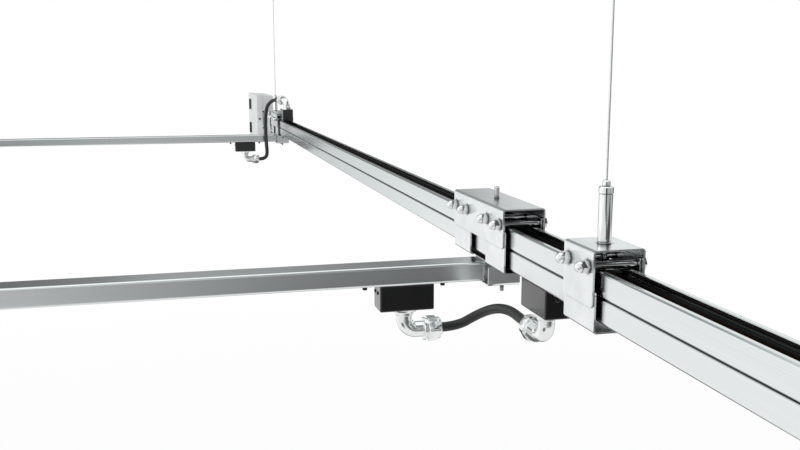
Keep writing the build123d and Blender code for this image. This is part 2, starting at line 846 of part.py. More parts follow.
def cord_tube(points, label):
    """Plain tube of straight runs joined by tangent arcs; prints its radii and compares its volume."""
    radii = cord_radii(points)
    with BuildPart() as cord:
        with BuildLine() as path:
            FilletPolyline(*points, radius=radii)
        with BuildSketch(Plane(origin=points[0], z_dir=points[1] - points[0])):
            Circle(cord_d / 2)
        sweep(path=path.line)
    route = path.wire()
    expected = pi * (cord_d / 2) ** 2 * route.length
    print(label, "radii", [round(radius, 1) for radius in radii], "length", round(route.length, 1),
          "volume ratio", round(cord.part.volume / expected, 4))
    return cord.part


# Inner points of each cord: X, Y from the crossing's station, and the rise above the run's top.
jumper_points = {
    "near": (
        (0.0, -103.0, -123.4), (-2.5, -76.5, -120.0), (-7.0, -49.0, -121.5), (-15.0, -23.0, -129.0),
        (-31.0, -5.0, -142.0), (-56.0, 0.0, -157.0),
    ),
    "far": (
        (-26.0, -97.2, 78.0), (-38.0, -77.7, 76.5), (-51.0, -62.7, 67.0), (-61.0, -53.7, 50.0),
        (-66.0, -50.7, 24.0), (-67.5, -49.7, -6.0), (-68.0, -48.7, -38.0), (-67.0, -45.7, -70.0),
        (-64.5, -36.7, -100.0), (-61.5, -23.7, -125.3), (-61.5, -10.5, -142.9), (-67.9, -3.9, -151.9),
        (-79.1, 0.0, -157.0),
    ),
}
for side, inner in jumper_points.items():
    first, last = (mouth.origin for mouth in cord_mouths[side])
    station = crossing_stations[side]
    middle_points = [Vector(x, station + along, run_top + rise) for x, along, rise in inner]
    save(cord_tube([first] + middle_points + [last], side), f"jumper_{side}")


# End feed box

feed_middle = run_middle
feed_near = main_end - feed_overlap
feed_far = feed_near + feed_length
lid_outer_x = -feed_half_width - feed_rim - lid_depth + lid_overlap
lid_inner_x = -feed_half_width - feed_rim + lid_overlap
lid_grow = lid_fit + feed_sheet
seam_y = feed_near - lid_grow + door_length


def tray(x_back, x_open, y_from, y_to, z_half):
    """Folded sheet tray: a back panel at x_back and four walls reaching to x_open."""
    depth = abs(x_open - x_back)
    way = 1 if x_open > x_back else -1
    middle = ((y_from + y_to) / 2, feed_middle)
    with BuildPart() as shell:
        with BuildSketch(Plane.YZ.offset(x_back)):
            with Locations(middle):
                RectangleRounded(y_to - y_from, 2 * z_half, feed_bend)
        extrude(amount=way * depth)
        back = shell.faces().filter_by(Axis.X).sort_by(Axis.X)
        fillet((back[0] if way > 0 else back[-1]).edges(), feed_edge)
        with BuildSketch(Plane.YZ.offset(x_back + way * feed_sheet)):
            with Locations(middle):
                Rectangle(y_to - y_from - 2 * feed_sheet, 2 * z_half - 2 * feed_sheet)
        extrude(amount=way * depth, mode=Mode.SUBTRACT)
    return shell.part


with BuildPart() as feed_body:
    add(tray(feed_half_width, -feed_half_width - feed_rim, feed_near, feed_far, feed_height / 2))
    with BuildSketch(Plane.XZ.offset(-feed_near - feed_sheet)):
        with Locations((0, run_middle)):
            Rectangle(track_width + 2 * feed_entry_fit, 2 * track_height + 2 * feed_entry_fit)
    extrude(amount=2 * feed_sheet, mode=Mode.SUBTRACT)
    with BuildSketch(Plane.XZ.offset(-feed_far - feed_sheet)):
        with Locations((0, feed_middle)):
            Circle(conduit_hole_d / 2)
    extrude(amount=2 * feed_sheet, mode=Mode.SUBTRACT)
save(feed_body.part, "feed_body")

lid_half = feed_height / 2 + lid_grow
with BuildPart() as feed_door:
    add(tray(lid_outer_x, lid_inner_x, feed_near - lid_grow, seam_y, lid_half))
    with BuildSketch(Plane.YZ.offset(-feed_half_width - feed_rim - lid_fit)):
        with Locations((seam_y, feed_middle)):
            Rectangle(4 * feed_sheet, feed_height + 2 * lid_fit)
    extrude(amount=lid_depth, mode=Mode.SUBTRACT)
save(feed_door.part, "feed_door")

with BuildPart() as feed_cover:
    add(tray(lid_outer_x, lid_inner_x, seam_y + door_gap, feed_far + lid_grow, lid_half))
    with BuildSketch(Plane.YZ.offset(-feed_half_width - feed_rim - lid_fit)):
        with Locations((seam_y + door_gap, feed_middle)):
            Rectangle(4 * feed_sheet, feed_height + 2 * lid_fit)
    extrude(amount=lid_depth, mode=Mode.SUBTRACT)
save(feed_cover.part, "feed_cover")

hinge_x = lid_outer_x - knuckle_d / 2
hinge_y = seam_y + door_gap / 2


def hinge_leaves(way, keep_upper, with_pin):
    """One leaf of each hinge, flat on the panel, with the knuckle that turns on, or holds, the pin."""
    knuckle = hinge_height / 2 - knuckle_gap / 2
    with BuildPart() as leaves:
        for offset in (-hinge_pitch / 2, hinge_pitch / 2):
            low = feed_middle + offset - hinge_height / 2
            base = low + hinge_height / 2 + knuckle_gap / 2 if keep_upper else low
            leaf_middle = hinge_y + way * (knuckle_d / 2 + knuckle_gap + hinge_leaf / 2)
            with BuildSketch(Plane.XY.offset(low)):
                with Locations((lid_outer_x - hinge_sheet / 2, leaf_middle)):
                    Rectangle(hinge_sheet, hinge_leaf)
            extrude(amount=hinge_height)
            with BuildSketch(Plane.XY.offset(base)):
                with Locations((hinge_x, hinge_y)):
                    Circle(knuckle_d / 2)
                with Locations((lid_outer_x - hinge_sheet / 2, hinge_y + way * (knuckle_d / 2 + knuckle_gap) / 2)):
                    Rectangle(hinge_sheet, knuckle_d / 2 + 2 * knuckle_gap)
            extrude(amount=knuckle)
            with BuildSketch(Plane.XY.offset(low)):
                with Locations((hinge_x, hinge_y)):
                    Circle(hinge_pin_d / 2 + (0 if with_pin else hinge_pin_fit))
            extrude(amount=hinge_height, mode=Mode.ADD if with_pin else Mode.SUBTRACT)
    return leaves.part


save(hinge_leaves(1, False, True), "feed_hinge_fixed_leaves")
save(hinge_leaves(-1, True, False), "feed_hinge_door_leaves")

with BuildPart() as feed_lock:
    with BuildSketch(Plane.XZ.offset(-feed_near + lid_grow)):
        with Locations(((lid_outer_x + lid_inner_x) / 2, feed_middle)):
            Circle(lock_d / 2)
    extrude(amount=lock_height)
    fillet(feed_lock.edges().group_by(Axis.Y)[0], lock_edge)
save(feed_lock.part, "feed_lock")
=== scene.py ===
import bmesh
import bpy
import numpy as np
from math import radians
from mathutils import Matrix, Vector


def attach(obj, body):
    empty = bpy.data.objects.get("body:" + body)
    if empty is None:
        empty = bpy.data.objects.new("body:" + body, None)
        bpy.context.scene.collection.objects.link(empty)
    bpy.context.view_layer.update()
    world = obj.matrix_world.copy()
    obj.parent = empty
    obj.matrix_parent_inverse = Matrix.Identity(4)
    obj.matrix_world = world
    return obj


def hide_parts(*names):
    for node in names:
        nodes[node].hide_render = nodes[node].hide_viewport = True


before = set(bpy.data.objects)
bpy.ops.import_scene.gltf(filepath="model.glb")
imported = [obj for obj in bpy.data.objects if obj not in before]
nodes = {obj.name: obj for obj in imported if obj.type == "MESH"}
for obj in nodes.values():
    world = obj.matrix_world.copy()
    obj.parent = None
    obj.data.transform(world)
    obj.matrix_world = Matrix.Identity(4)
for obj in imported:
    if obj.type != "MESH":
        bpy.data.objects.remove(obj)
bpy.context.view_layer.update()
print("frame loaded:", len(nodes), "nodes")

mm = 0.001
ceilingDrop = 490.0  # run's top face below the top of the ceiling fittings, in mm


# A point in metres from mm, with the height given above the run's top face
def place(x, y, rise):
    return Vector((x * mm, y * mm, (rise - ceilingDrop) * mm))


# Camera

cameraView = {
    "place": (-448.6, -870.2, 209.8),
    "lens": 41.02,
    "pitchDown": 9.953,
    "turnRight": 14.417,
    "farClip": 30.0,
}


def makeCamera(view):
    data = bpy.data.cameras.new("photoCamera")
    data.lens = view["lens"]
    data.clip_end = view["farClip"]
    camera = bpy.data.objects.new("photoCamera", data)
    camera.location = place(*view["place"])
    camera.rotation_euler = (radians(90 - view["pitchDown"]), 0, radians(-view["turnRight"]))
    bpy.context.scene.collection.objects.link(camera)
    bpy.context.scene.camera = camera


makeCamera(cameraView)
bpy.context.scene.view_settings.view_transform = 'Standard'
print("camera placed")


# Node helpers

# A node of this kind with its properties or named sockets set
def addNode(tree, kind, spot=(0, 0), **values):
    node = tree.nodes.new(kind)
    node.location = spot
    for key, value in values.items():
        if hasattr(node, key):
            setattr(node, key, value)
        else:
            node.inputs[key.replace("_", " ")].default_value = value
    return node


# A number eased from one value to another while the input goes between two marks
def easedBetween(tree, source, marks, values):
    ramp = addNode(tree, "ShaderNodeMapRange", interpolation_type='SMOOTHSTEP')
    ramp.inputs["From Min"].default_value = marks[0]
    ramp.inputs["From Max"].default_value = marks[1]
    ramp.inputs["To Min"].default_value = values[0]
    ramp.inputs["To Max"].default_value = values[1]
    tree.links.new(source, ramp.inputs["Value"])
    return ramp.outputs["Result"]


# An empty shader group with its named sockets, and its input and output nodes
def newGroup(name, inputs, outputs):
    tree = bpy.data.node_groups.new(name, "ShaderNodeTree")
    for label, kind, value in inputs:
        socket = tree.interface.new_socket(label, in_out='INPUT', socket_type=kind)
        if value is not None:
            socket.default_value = value
    for label, kind in outputs:
        tree.interface.new_socket(label, in_out='OUTPUT', socket_type=kind)
    return tree, tree.nodes.new("NodeGroupInput"), tree.nodes.new("NodeGroupOutput")


surfaceShading = {
    "fineShare": 0.35,  # how far the fine grain breaks up the broad cloudiness
    "toneMarks": (0.42, 0.92),  # cloudiness at which the dark tone ends and the light one begins
    "openMarks": (0.42, 0.96),  # share of open surroundings from a full crease to none
    # colour of the painted shade in creases
    "paintedShadeTone": (0.015, 0.015, 0.016),
    "creaseSamples": 8,
}


# Fine grain stretched along one way, and a broad cloudiness, both about 0.5 on average
def makeGrainGroup():
    tree, start, end = newGroup(
        "surfaceGrain",
        [("Vector", "NodeSocketVector", None), ("Stretch", "NodeSocketVector", (1.0, 1.0, 1.0)),
         ("Fine Scale", "NodeSocketFloat", 900.0), ("Broad Scale", "NodeSocketFloat", 14.0)],
        [("Fine", "NodeSocketFloat"), ("Broad", "NodeSocketFloat")],
    )
    stretched = addNode(tree, "ShaderNodeVectorMath", operation='MULTIPLY')
    fine = addNode(tree, "ShaderNodeTexNoise", Detail=2.0, Roughness=0.6)
    broad = addNode(tree, "ShaderNodeTexNoise", Detail=3.0, Roughness=0.55)
    tree.links.new(start.outputs["Vector"], stretched.inputs[0])
    tree.links.new(start.outputs["Stretch"], stretched.inputs[1])
    tree.links.new(stretched.outputs[0], fine.inputs["Vector"])
    tree.links.new(start.outputs["Fine Scale"], fine.inputs["Scale"])
    tree.links.new(stretched.outputs[0], broad.inputs["Vector"])
    tree.links.new(start.outputs["Broad Scale"], broad.inputs["Scale"])
    tree.links.new(fine.outputs["Fac"], end.inputs["Fine"])
    tree.links.new(broad.outputs["Fac"], end.inputs["Broad"])
    return tree


# A colour that drifts between two tones with the broad mask and is broken a little by the fine one
def makeToneGroup():
    tree, start, end = newGroup(
        "toneDrift",
        [("Broad", "NodeSocketFloat", 0.5), ("Fine", "NodeSocketFloat", 0.5),
         ("Dark", "NodeSocketColor", (0.5, 0.5, 0.5, 1)), ("Light", "NodeSocketColor", (0.7, 0.7, 0.7, 1)),
         ("Smooth", "NodeSocketFloat", 0.3), ("Rough", "NodeSocketFloat", 0.45)],
        [("Color", "NodeSocketColor"), ("Roughness", "NodeSocketFloat")],
    )
    both = addNode(tree, "ShaderNodeMath", operation='MULTIPLY_ADD')
    both.inputs[1].default_value = surfaceShading["fineShare"]
    ramp = addNode(tree, "ShaderNodeMapRange")
    ramp.inputs["From Min"].default_value = surfaceShading["toneMarks"][0]
    ramp.inputs["From Max"].default_value = surfaceShading["toneMarks"][1]
    mix = addNode(tree, "ShaderNodeMix", data_type='RGBA')
    rough = addNode(tree, "ShaderNodeMapRange")
    tree.links.new(start.outputs["Fine"], both.inputs[0])
    tree.links.new(start.outputs["Broad"], both.inputs[2])
    tree.links.new(both.outputs[0], ramp.inputs["Value"])
    tree.links.new(ramp.outputs["Result"], mix.inputs["Factor"])
    tree.links.new(start.outputs["Dark"], mix.inputs[6])
    tree.links.new(start.outputs["Light"], mix.inputs[7])
    tree.links.new(ramp.outputs["Result"], rough.inputs["Value"])
    tree.links.new(start.outputs["Rough"], rough.inputs["To Min"])
    tree.links.new(start.outputs["Smooth"], rough.inputs["To Max"])
    tree.links.new(mix.outputs[2], end.inputs["Color"])
    tree.links.new(rough.outputs["Result"], end.inputs["Roughness"])
    return tree


# Painted shade: a tone darkened by ambient occlusion where other surfaces stand close, in seams, along laps
# and round the foot of a nut
def makeCreaseGroup():
    tree, start, end = newGroup(
        "creasePaintedShade",
        [("Color", "NodeSocketColor", (0.8, 0.8, 0.8, 1)), ("Reach", "NodeSocketFloat", 0.006),
         ("Depth", "NodeSocketFloat", 0.0)],
        [("Color", "NodeSocketColor")],
    )
    openness = addNode(tree, "ShaderNodeAmbientOcclusion", samples=surfaceShading["creaseSamples"])
    closeness = easedBetween(tree, openness.outputs["AO"], surfaceShading["openMarks"], (1.0, 0.0))
    amount = addNode(tree, "ShaderNodeMath", operation='MULTIPLY')
    mix = addNode(tree, "ShaderNodeMix", data_type='RGBA')
    mix.inputs[7].default_value = (*surfaceShading["paintedShadeTone"], 1)
    tree.links.new(start.outputs["Reach"], openness.inputs["Distance"])
    tree.links.new(closeness, amount.inputs[0])
    tree.links.new(start.outputs["Depth"], amount.inputs[1])
    tree.links.new(amount.outputs[0], mix.inputs["Factor"])
    tree.links.new(start.outputs["Color"], mix.inputs[6])
    tree.links.new(mix.outputs[2], end.inputs["Color"])
    return tree


grainGroup = makeGrainGroup()
toneGroup = makeToneGroup()
paintedShadeGroup = makeCreaseGroup()


# One surface finish from its dictionary: tones, roughness, grain, bump, coat and the reach in mm of the
# painted shade in creases
def makeFinish(name, look):
    material = bpy.data.materials.new(name)
    material.use_nodes = True
    tree = material.node_tree
    shader = tree.nodes["Principled BSDF"]
    coords = addNode(tree, "ShaderNodeTexCoord", (-1000, 0))
    grain = addNode(tree, "ShaderNodeGroup", (-780, 0), node_tree=grainGroup)
    tone = addNode(tree, "ShaderNodeGroup", (-540, 80), node_tree=toneGroup)
    bump = addNode(tree, "ShaderNodeBump", (-300, -220))
    grain.inputs["Stretch"].default_value = look.get("stretch", (1, 1, 1))
    grain.inputs["Fine Scale"].default_value = look.get("fineScale", 900.0)
    grain.inputs["Broad Scale"].default_value = look.get("broadScale", 14.0)
    tone.inputs["Dark"].default_value = (*look["dark"], 1)
    tone.inputs["Light"].default_value = (*look["light"], 1)
    tone.inputs["Smooth"].default_value = look["smooth"]
    tone.inputs["Rough"].default_value = look["rough"]
    bump.inputs["Strength"].default_value = look.get("bump", 0.1)
    bump.inputs["Distance"].default_value = look.get("bumpDepth", 0.0001)
    shader.inputs["Metallic"].default_value = look.get("metallic", 0.0)
    shader.inputs["Coat Weight"].default_value = look.get("coat", 0.0)
    shader.inputs["Coat Roughness"].default_value = look.get("coatRoughness", 0.1)
    tree.links.new(coords.outputs["Object"], grain.inputs["Vector"])
    tree.links.new(grain.outputs["Fine"], tone.inputs["Fine"])
    tree.links.new(grain.outputs["Broad"], tone.inputs["Broad"])
    tree.links.new(grain.outputs["Fine"], bump.inputs["Height"])
    color = tone.outputs["Color"]
    # painted shade: the base colour darkened where other surfaces stand close
    if "paintedCreaseShade" in look:
        paintedCreaseShade = addNode(tree, "ShaderNodeGroup", (-280, 120), node_tree=paintedShadeGroup)
        paintedCreaseShade.inputs["Reach"].default_value = look["paintedCreaseShade"] * mm
        paintedCreaseShade.inputs["Depth"].default_value = look.get("paintedShadeDepth", 0.95)
        tree.links.new(color, paintedCreaseShade.inputs["Color"])
        color = paintedCreaseShade.outputs["Color"]
    tree.links.new(color, shader.inputs["Base Color"])
    tree.links.new(tone.outputs["Roughness"], shader.inputs["Roughness"])
    tree.links.new(bump.outputs["Normal"], shader.inputs["Normal"])
    return material


# a finish's crease reach in mm and depth set the painted shade in its creases, seams and round nut feet
finishes = {
    "anodisedAlongY": {
        "dark": (0.77, 0.80, 0.80), "light": (0.87, 0.90, 0.90), "metallic": 1.0,
        "smooth": 0.15, "rough": 0.21, "stretch": (1.0, 0.0015, 1.0), "fineScale": 1500.0, "bump": 0.012,
        "paintedCreaseShade": 10.0,
    },
    "anodisedAlongX": {
        "dark": (0.72, 0.755, 0.755), "light": (0.82, 0.85, 0.85), "metallic": 1.0,
        "smooth": 0.18, "rough": 0.25, "stretch": (0.0015, 1.0, 1.0), "fineScale": 1500.0, "bump": 0.012,
        "paintedCreaseShade": 7.0,
    },
    "linerBlack": {
        "dark": (0.006, 0.006, 0.007), "light": (0.012, 0.012, 0.013), "smooth": 0.42, "rough": 0.6,
        "fineScale": 700.0, "bump": 0.05,
    },
    # copper kept far darker than its own tone: painted shade of the slot it lies in
    "shadedCopperBar": {
        "dark": (0.12, 0.055, 0.03), "light": (0.30, 0.15, 0.09), "metallic": 1.0,
        "smooth": 0.28, "rough": 0.48, "broadScale": 40.0, "bump": 0.03,
    },
    "bracketPlate": {
        "dark": (0.80, 0.825, 0.83), "light": (0.91, 0.93, 0.93), "metallic": 1.0,
        "smooth": 0.21, "rough": 0.27, "fineScale": 1600.0, "broadScale": 30.0, "bump": 0.015,
        "paintedCreaseShade": 6.0,
    },
    "nickelPlate": {
        "dark": (0.78, 0.79, 0.79), "light": (0.90, 0.91, 0.91), "metallic": 1.0,
        "smooth": 0.03, "rough": 0.08, "fineScale": 2200.0, "broadScale": 90.0, "bump": 0.02,
        "paintedCreaseShade": 7.0, "paintedShadeDepth": 0.9,
    },
    "wireSteel": {
        "dark": (0.62, 0.63, 0.63), "light": (0.82, 0.83, 0.83), "metallic": 1.0,
        "smooth": 0.24, "rough": 0.36, "fineScale": 3000.0, "bump": 0.05,
    },
    "boxBlack": {
        "dark": (0.007, 0.007, 0.0075), "light": (0.012, 0.012, 0.0125), "smooth": 0.12, "rough": 0.2,
        "fineScale": 1400.0, "bump": 0.02, "coat": 0.35, "coatRoughness": 0.06,
    },
    "castBright": {
        "dark": (0.84, 0.85, 0.85), "light": (0.95, 0.96, 0.96), "metallic": 0.9,
        "smooth": 0.08, "rough": 0.18, "fineScale": 1200.0, "broadScale": 60.0, "bump": 0.03,
    },
    "cordRubber": {
        "dark": (0.010, 0.010, 0.010), "light": (0.018, 0.018, 0.018), "smooth": 0.34, "rough": 0.46,
        "fineScale": 1800.0, "bump": 0.04,
    },
    "capBlack": {
        "dark": (0.014, 0.014, 0.015), "light": (0.028, 0.028, 0.03), "smooth": 0.35, "rough": 0.5,
        "fineScale": 1100.0, "bump": 0.06,
    },
    "powderPaint": {
        "dark": (0.80, 0.815, 0.81), "light": (0.86, 0.875, 0.87), "smooth": 0.34, "rough": 0.46,
        "fineScale": 800.0, "broadScale": 9.0, "bump": 0.10, "bumpDepth": 0.0002,
    },
    "blackOxide": {
        "dark": (0.012, 0.012, 0.013), "light": (0.03, 0.03, 0.031), "metallic": 0.6,
        "smooth": 0.3, "rough": 0.45, "fineScale": 2000.0, "bump": 0.04,
    },
}
materials = {name: makeFinish(name, look) for name, look in finishes.items()}


# Finishes of the CAD nodes by how their names end or begin
nodeFinishes = {
    "endings": (
        ("_upper_housing", "anodisedAlongY"), ("_lower_housing", "anodisedAlongY"),
        ("_housing", "anodisedAlongX"), ("_liner", "linerBlack"), ("_conductors", "shadedCopperBar"),
        ("_end_caps", "capBlack"), ("_leaves", "capBlack"), ("_gripper", "nickelPlate"),
        ("_ceiling_fitting", "nickelPlate"), ("_acorn_nuts", "nickelPlate"), ("_cross_bolts", "nickelPlate"),
        ("_stud", "nickelPlate"), ("_carrier_bolts", "nickelPlate"), ("_carrier_grip", "nickelPlate"),
        ("_cap", "bracketPlate"), ("_saddle", "bracketPlate"), ("_carrier", "bracketPlate"),
        ("_wire", "wireSteel"), ("lock_screws", "blackOxide"), ("feed_lock", "blackOxide"),
    ),
    "beginnings": (
        ("plug_", "boxBlack"), ("connectors_", "castBright"), ("gland_nuts_", "castBright"),
        ("jumper_", "cordRubber"), ("feed_", "powderPaint"),
    ),
    # left out of mirrored views, because the photo's track side and near hanger show only the room in them
    "unmirrored": (
        "lateral_near_housing", "lateral_near_liner", "lateral_near_conductors", "lateral_near_end_caps",
        "plug_lateral_near", "plug_main_under",
    ),
}


# The first finish whose mark the node's name ends with, or else begins with
def finishOf(node):
    byEnding = [finish for ending, finish in nodeFinishes["endings"] if node.endswith(ending)]
    byBeginning = [finish for beginning, finish in nodeFinishes["beginnings"] if node.startswith(beginning)]
    return (byEnding + byBeginning)[0]


# Gives an object one finish in all its slots
def dress(obj, finish):
    obj.data.materials.clear()
    obj.data.materials.append(materials[finish])


for name, obj in nodes.items():
    dress(obj, finishOf(name))
for name in nodeFinishes["unmirrored"]:
    nodes[name].visible_glossy = False
print("nodes dressed:", len(nodes))


# Links a finished piece, gives it its finish and the body it rides on
def addPiece(obj, body, finish):
    bpy.context.scene.collection.objects.link(obj)
    dress(obj, finish)
    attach(obj, body)
    return obj


# Jumper cords

jumperCords = {
    "diameter": 13.8,
    "smoothness": 12,
    "roundness": 6,
    "near": (
        (0.0, 198.0, -123.4), (0.0, 224.0, -123.4), (-2.5, 250.5, -120.0), (-7.0, 278.0, -121.5),
        (-15.0, 304.0, -129.0), (-31.0, 322.0, -142.0), (-56.0, 327.0, -157.0), (-82.0, 327.0, -157.0),
    ),
    "far": (
        (-18.1, 2646.8, 78.0), (-26.0, 2668.5, 78.0), (-38.0, 2688.0, 76.5), (-51.0, 2703.0, 67.0),
        (-61.0, 2712.0, 50.0), (-66.0, 2715.0, 24.0), (-67.5, 2716.0, -6.0), (-68.0, 2717.0, -38.0),
        (-67.0, 2720.0, -70.0), (-64.5, 2729.0, -100.0), (-61.5, 2742.0, -125.3), (-61.5, 2755.2, -142.9),
        (-67.9, 2761.8, -151.9), (-79.1, 2765.7, -157.0), (-92.0, 2765.7, -157.0),
    ),
}


# A curve object of one open NURBS spline whose control points are the given points
def nurbsRoute(name, points):
    curve = bpy.data.curves.new(name, 'CURVE')
    curve.dimensions = '3D'
    spline = curve.splines.new('NURBS')
    spline.points.add(len(points) - 1)
    for point, spot in zip(spline.points, points):
        point.co = (*spot, 1)
    spline.order_u = 3
    spline.use_endpoint_u = True
    spline.resolution_u = jumperCords["smoothness"]
    return bpy.data.objects.new(name, curve)


# Points along the spline's own line, as the curve gives it with no bevel
def routeLine(points):
    probe = nurbsRoute("routeProbe", points)
    bpy.context.scene.collection.objects.link(probe)
    line = bpy.data.meshes.new_from_object(probe.evaluated_get(bpy.context.evaluated_depsgraph_get()))
    spots = np.empty(len(line.vertices) * 3)
    line.vertices.foreach_get("co", spots)
    bpy.data.objects.remove(probe)
    bpy.data.meshes.remove(line)
    return spots.reshape(-1, 3)


def lineLength(spots):
    return float(np.linalg.norm(np.diff(spots, axis=0), axis=1).sum())


for side in ("near", "far"):
    points = [place(*point) for point in jumperCords[side]]
    cord = nurbsRoute(f"jumperCord_{side}", points)
    cord.data.bevel_depth = jumperCords["diameter"] * mm / 2
    cord.data.bevel_resolution = jumperCords["roundness"]
    addPiece(cord, "busway", "cordRubber")
    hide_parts(f"jumper_{side}")
    lineLength(routeLine(points))
print("jumper cords laid")


# Suspension wires

suspensionWires = {
    "diameter": 2.4,
    "bottom": 90.4,
    "top": 470.0,
    "strands": 6,
    "lay": 16.0,
    "grooveDepth": 0.16,
    "around": 36,
    "along": 420,
    "stations": {"near": 0.0, "far": 2949.0},
}


# A mesh of quads from an array of rows of points; with closeAround the rows are rings and the ends capped
def gridMesh(name, spots, closeAround=True):
    rows, columns, _ = spots.shape
    index = np.arange(rows * columns).reshape(rows, columns)
    right = np.roll(index, -1, axis=1) if closeAround else index[:, 1:]
    left = index if closeAround else index[:, :-1]
    faces = np.stack([left[:-1], right[:-1], right[1:], left[1:]], axis=-1).reshape(-1, 4).tolist()
    if closeAround:
        faces += [index[0][::-1].tolist(), index[-1].tolist()]
    mesh = bpy.data.meshes.new(name)
    mesh.from_pydata(spots.reshape(-1, 3).tolist(), [], faces)
    mesh.shade_smooth()
    return bpy.data.objects.new(name, mesh)


# Straight wire: the radius is half the diameter less the groove's depth times one minus the crown, a cosine
# of the angle that turns with the height, and is 1 on each strand and 0 between two
def strandedRod(name, wire, station):
    height = np.linspace(wire["bottom"], wire["top"], wire["along"])[:, None]
    angle = np.linspace(0, 2 * np.pi, wire["around"], endpoint=False)[None, :]
    twist = 2 * np.pi * (height - wire["bottom"]) / wire["lay"]
    crown = np.abs(np.cos(wire["strands"] * (angle - twist) / 2))
    radius = wire["diameter"] / 2 - wire["grooveDepth"] * (1 - crown)
    x = radius * np.cos(angle)
    y = radius * np.sin(angle) + station
    z = np.broadcast_to(height - ceilingDrop, x.shape)
    return gridMesh(name, np.stack([x, y, z], axis=-1) * mm)


for side, station in suspensionWires["stations"].items():
    wire = strandedRod(f"suspensionWire_{side}", suspensionWires, station)
    addPiece(wire, "busway", "wireSteel")
    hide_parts(f"hanger_{side}_wire")
print("wires hung")


# Threads, connectors and other turned pieces

# A round ring reaches its radius; a hexagon half its flats over the cosine of the angle from the middle of
# the nearest flat, and never more than its radius, the chamfered corner
def ringReach(angle, radius, flats):
    fromFlat = (angle + np.pi / 6) % (np.pi / 3) - np.pi / 6
    hexagon = np.minimum(flats / 2 / np.cos(fromFlat), radius)
    return np.where(flats > 0, hexagon, radius + 0 * angle)


def flatsOf(profile):
    return [row[2] if len(row) > 2 else 0.0 for row in profile]


# Rings square to an axis: rows of distance along it, radius, and across flats where the ring is a hexagon
def turnedRings(start, along, profile, around=48):
    along = Vector(along).normalized()
    up = Vector((0, 0, 1)) if abs(along.z) < 0.9 else Vector((0, 1, 0))
    aside = np.array(up.cross(along).normalized())
    over = np.array(along.cross(Vector(aside)))
    angle = np.linspace(0, 2 * np.pi, around, endpoint=False)[None, :]
    station = np.array([row[0] for row in profile])[:, None]
    radius = np.array([row[1] for row in profile])[:, None]
    reach = ringReach(angle, radius, np.array(flatsOf(profile))[:, None])
    centre = np.array(start)[None, None, :] + station[..., None] * np.array(along)
    ring = reach[..., None] * (np.cos(angle)[..., None] * over + np.sin(angle)[..., None] * aside)
    return centre + ring


# Each set of rings made a closed body, all in one mesh, with edges over the crisp angle kept sharp
def ringBody(name, ringSets, crisp=32.0):
    spots = []
    faces = []
    for rings in ringSets:
        rows, columns, _ = rings.shape
        index = np.arange(rows * columns).reshape(rows, columns) + sum(len(part) for part in spots)
        after = np.roll(index, -1, axis=1)
        faces += np.stack([index[:-1], after[:-1], after[1:], index[1:]], axis=-1).reshape(-1, 4).tolist()
        faces += [index[0][::-1].tolist(), index[-1].tolist()]
        spots.append(rings.reshape(-1, 3))
    mesh = bpy.data.meshes.new(name)
    mesh.from_pydata((np.concatenate(spots) * mm).tolist(), [], faces)
    outward(mesh)
    mesh.shade_smooth()
    mesh.set_sharp_from_angle(angle=radians(crisp))
    return bpy.data.objects.new(name, mesh)


# Doubles merged and all faces turned outwards
def outward(mesh):
    work = bmesh.new()
    work.from_mesh(mesh)
    bmesh.ops.remove_doubles(work, verts=work.verts, dist=1e-7)
    bmesh.ops.recalc_face_normals(work, faces=work.faces)
    work.to_mesh(mesh)
    work.free()


# As place, but in mm and an array
def spotOf(x, y, rise):
    return np.array((x, y, rise - ceilingDrop))


# Right-angle connectors and their gland nuts

connectorShape = {
    "bend": 17.0,
    "armDrop": 32.0,
    "tube": 11.0,
    "armEnd": 27.0,
    "quarterSteps": 26,
    # rows of distance from the box face, radius, and across flats where it is a hexagon
    "root": ((0.0, 17.4, 31.0), (3.4, 17.4, 31.0), (4.4, 16.2, 30.0), (4.4, 13.2), (8.2, 13.2), (9.4, 12.0),
             (9.6, 11.0)),
    "nut": ((0.0, 12.0), (0.0, 15.2), (0.7, 16.1), (3.0, 16.1), (3.8, 15.2), (4.2, 14.2), (6.2, 14.2),
            (6.2, 16.6, 32.6), (7.2, 18.4, 33.0), (18.6, 18.4, 33.0), (19.6, 16.6, 32.6), (19.6, 15.4),
            (22.6, 15.4), (24.2, 14.9), (25.4, 13.7), (26.0, 12.0), (26.0, 8.4), (24.0, 8.0)),
    # each connector's place on its box face, its way out and the way its arm points
    "near": (((0.0, 145.0, -91.4), (0, 0, -1), (0, 1, 0)), ((-135.0, 327.0, -125.0), (0, 0, -1), (1, 0, 0))),
    "far": (((0.0, 2597.0, 46.0), (0, 0, 1), (-0.34202, 0.93969, 0)),
            ((-145.0, 2765.7, -125.0), (0, 0, -1), (1, 0, 0))),
}


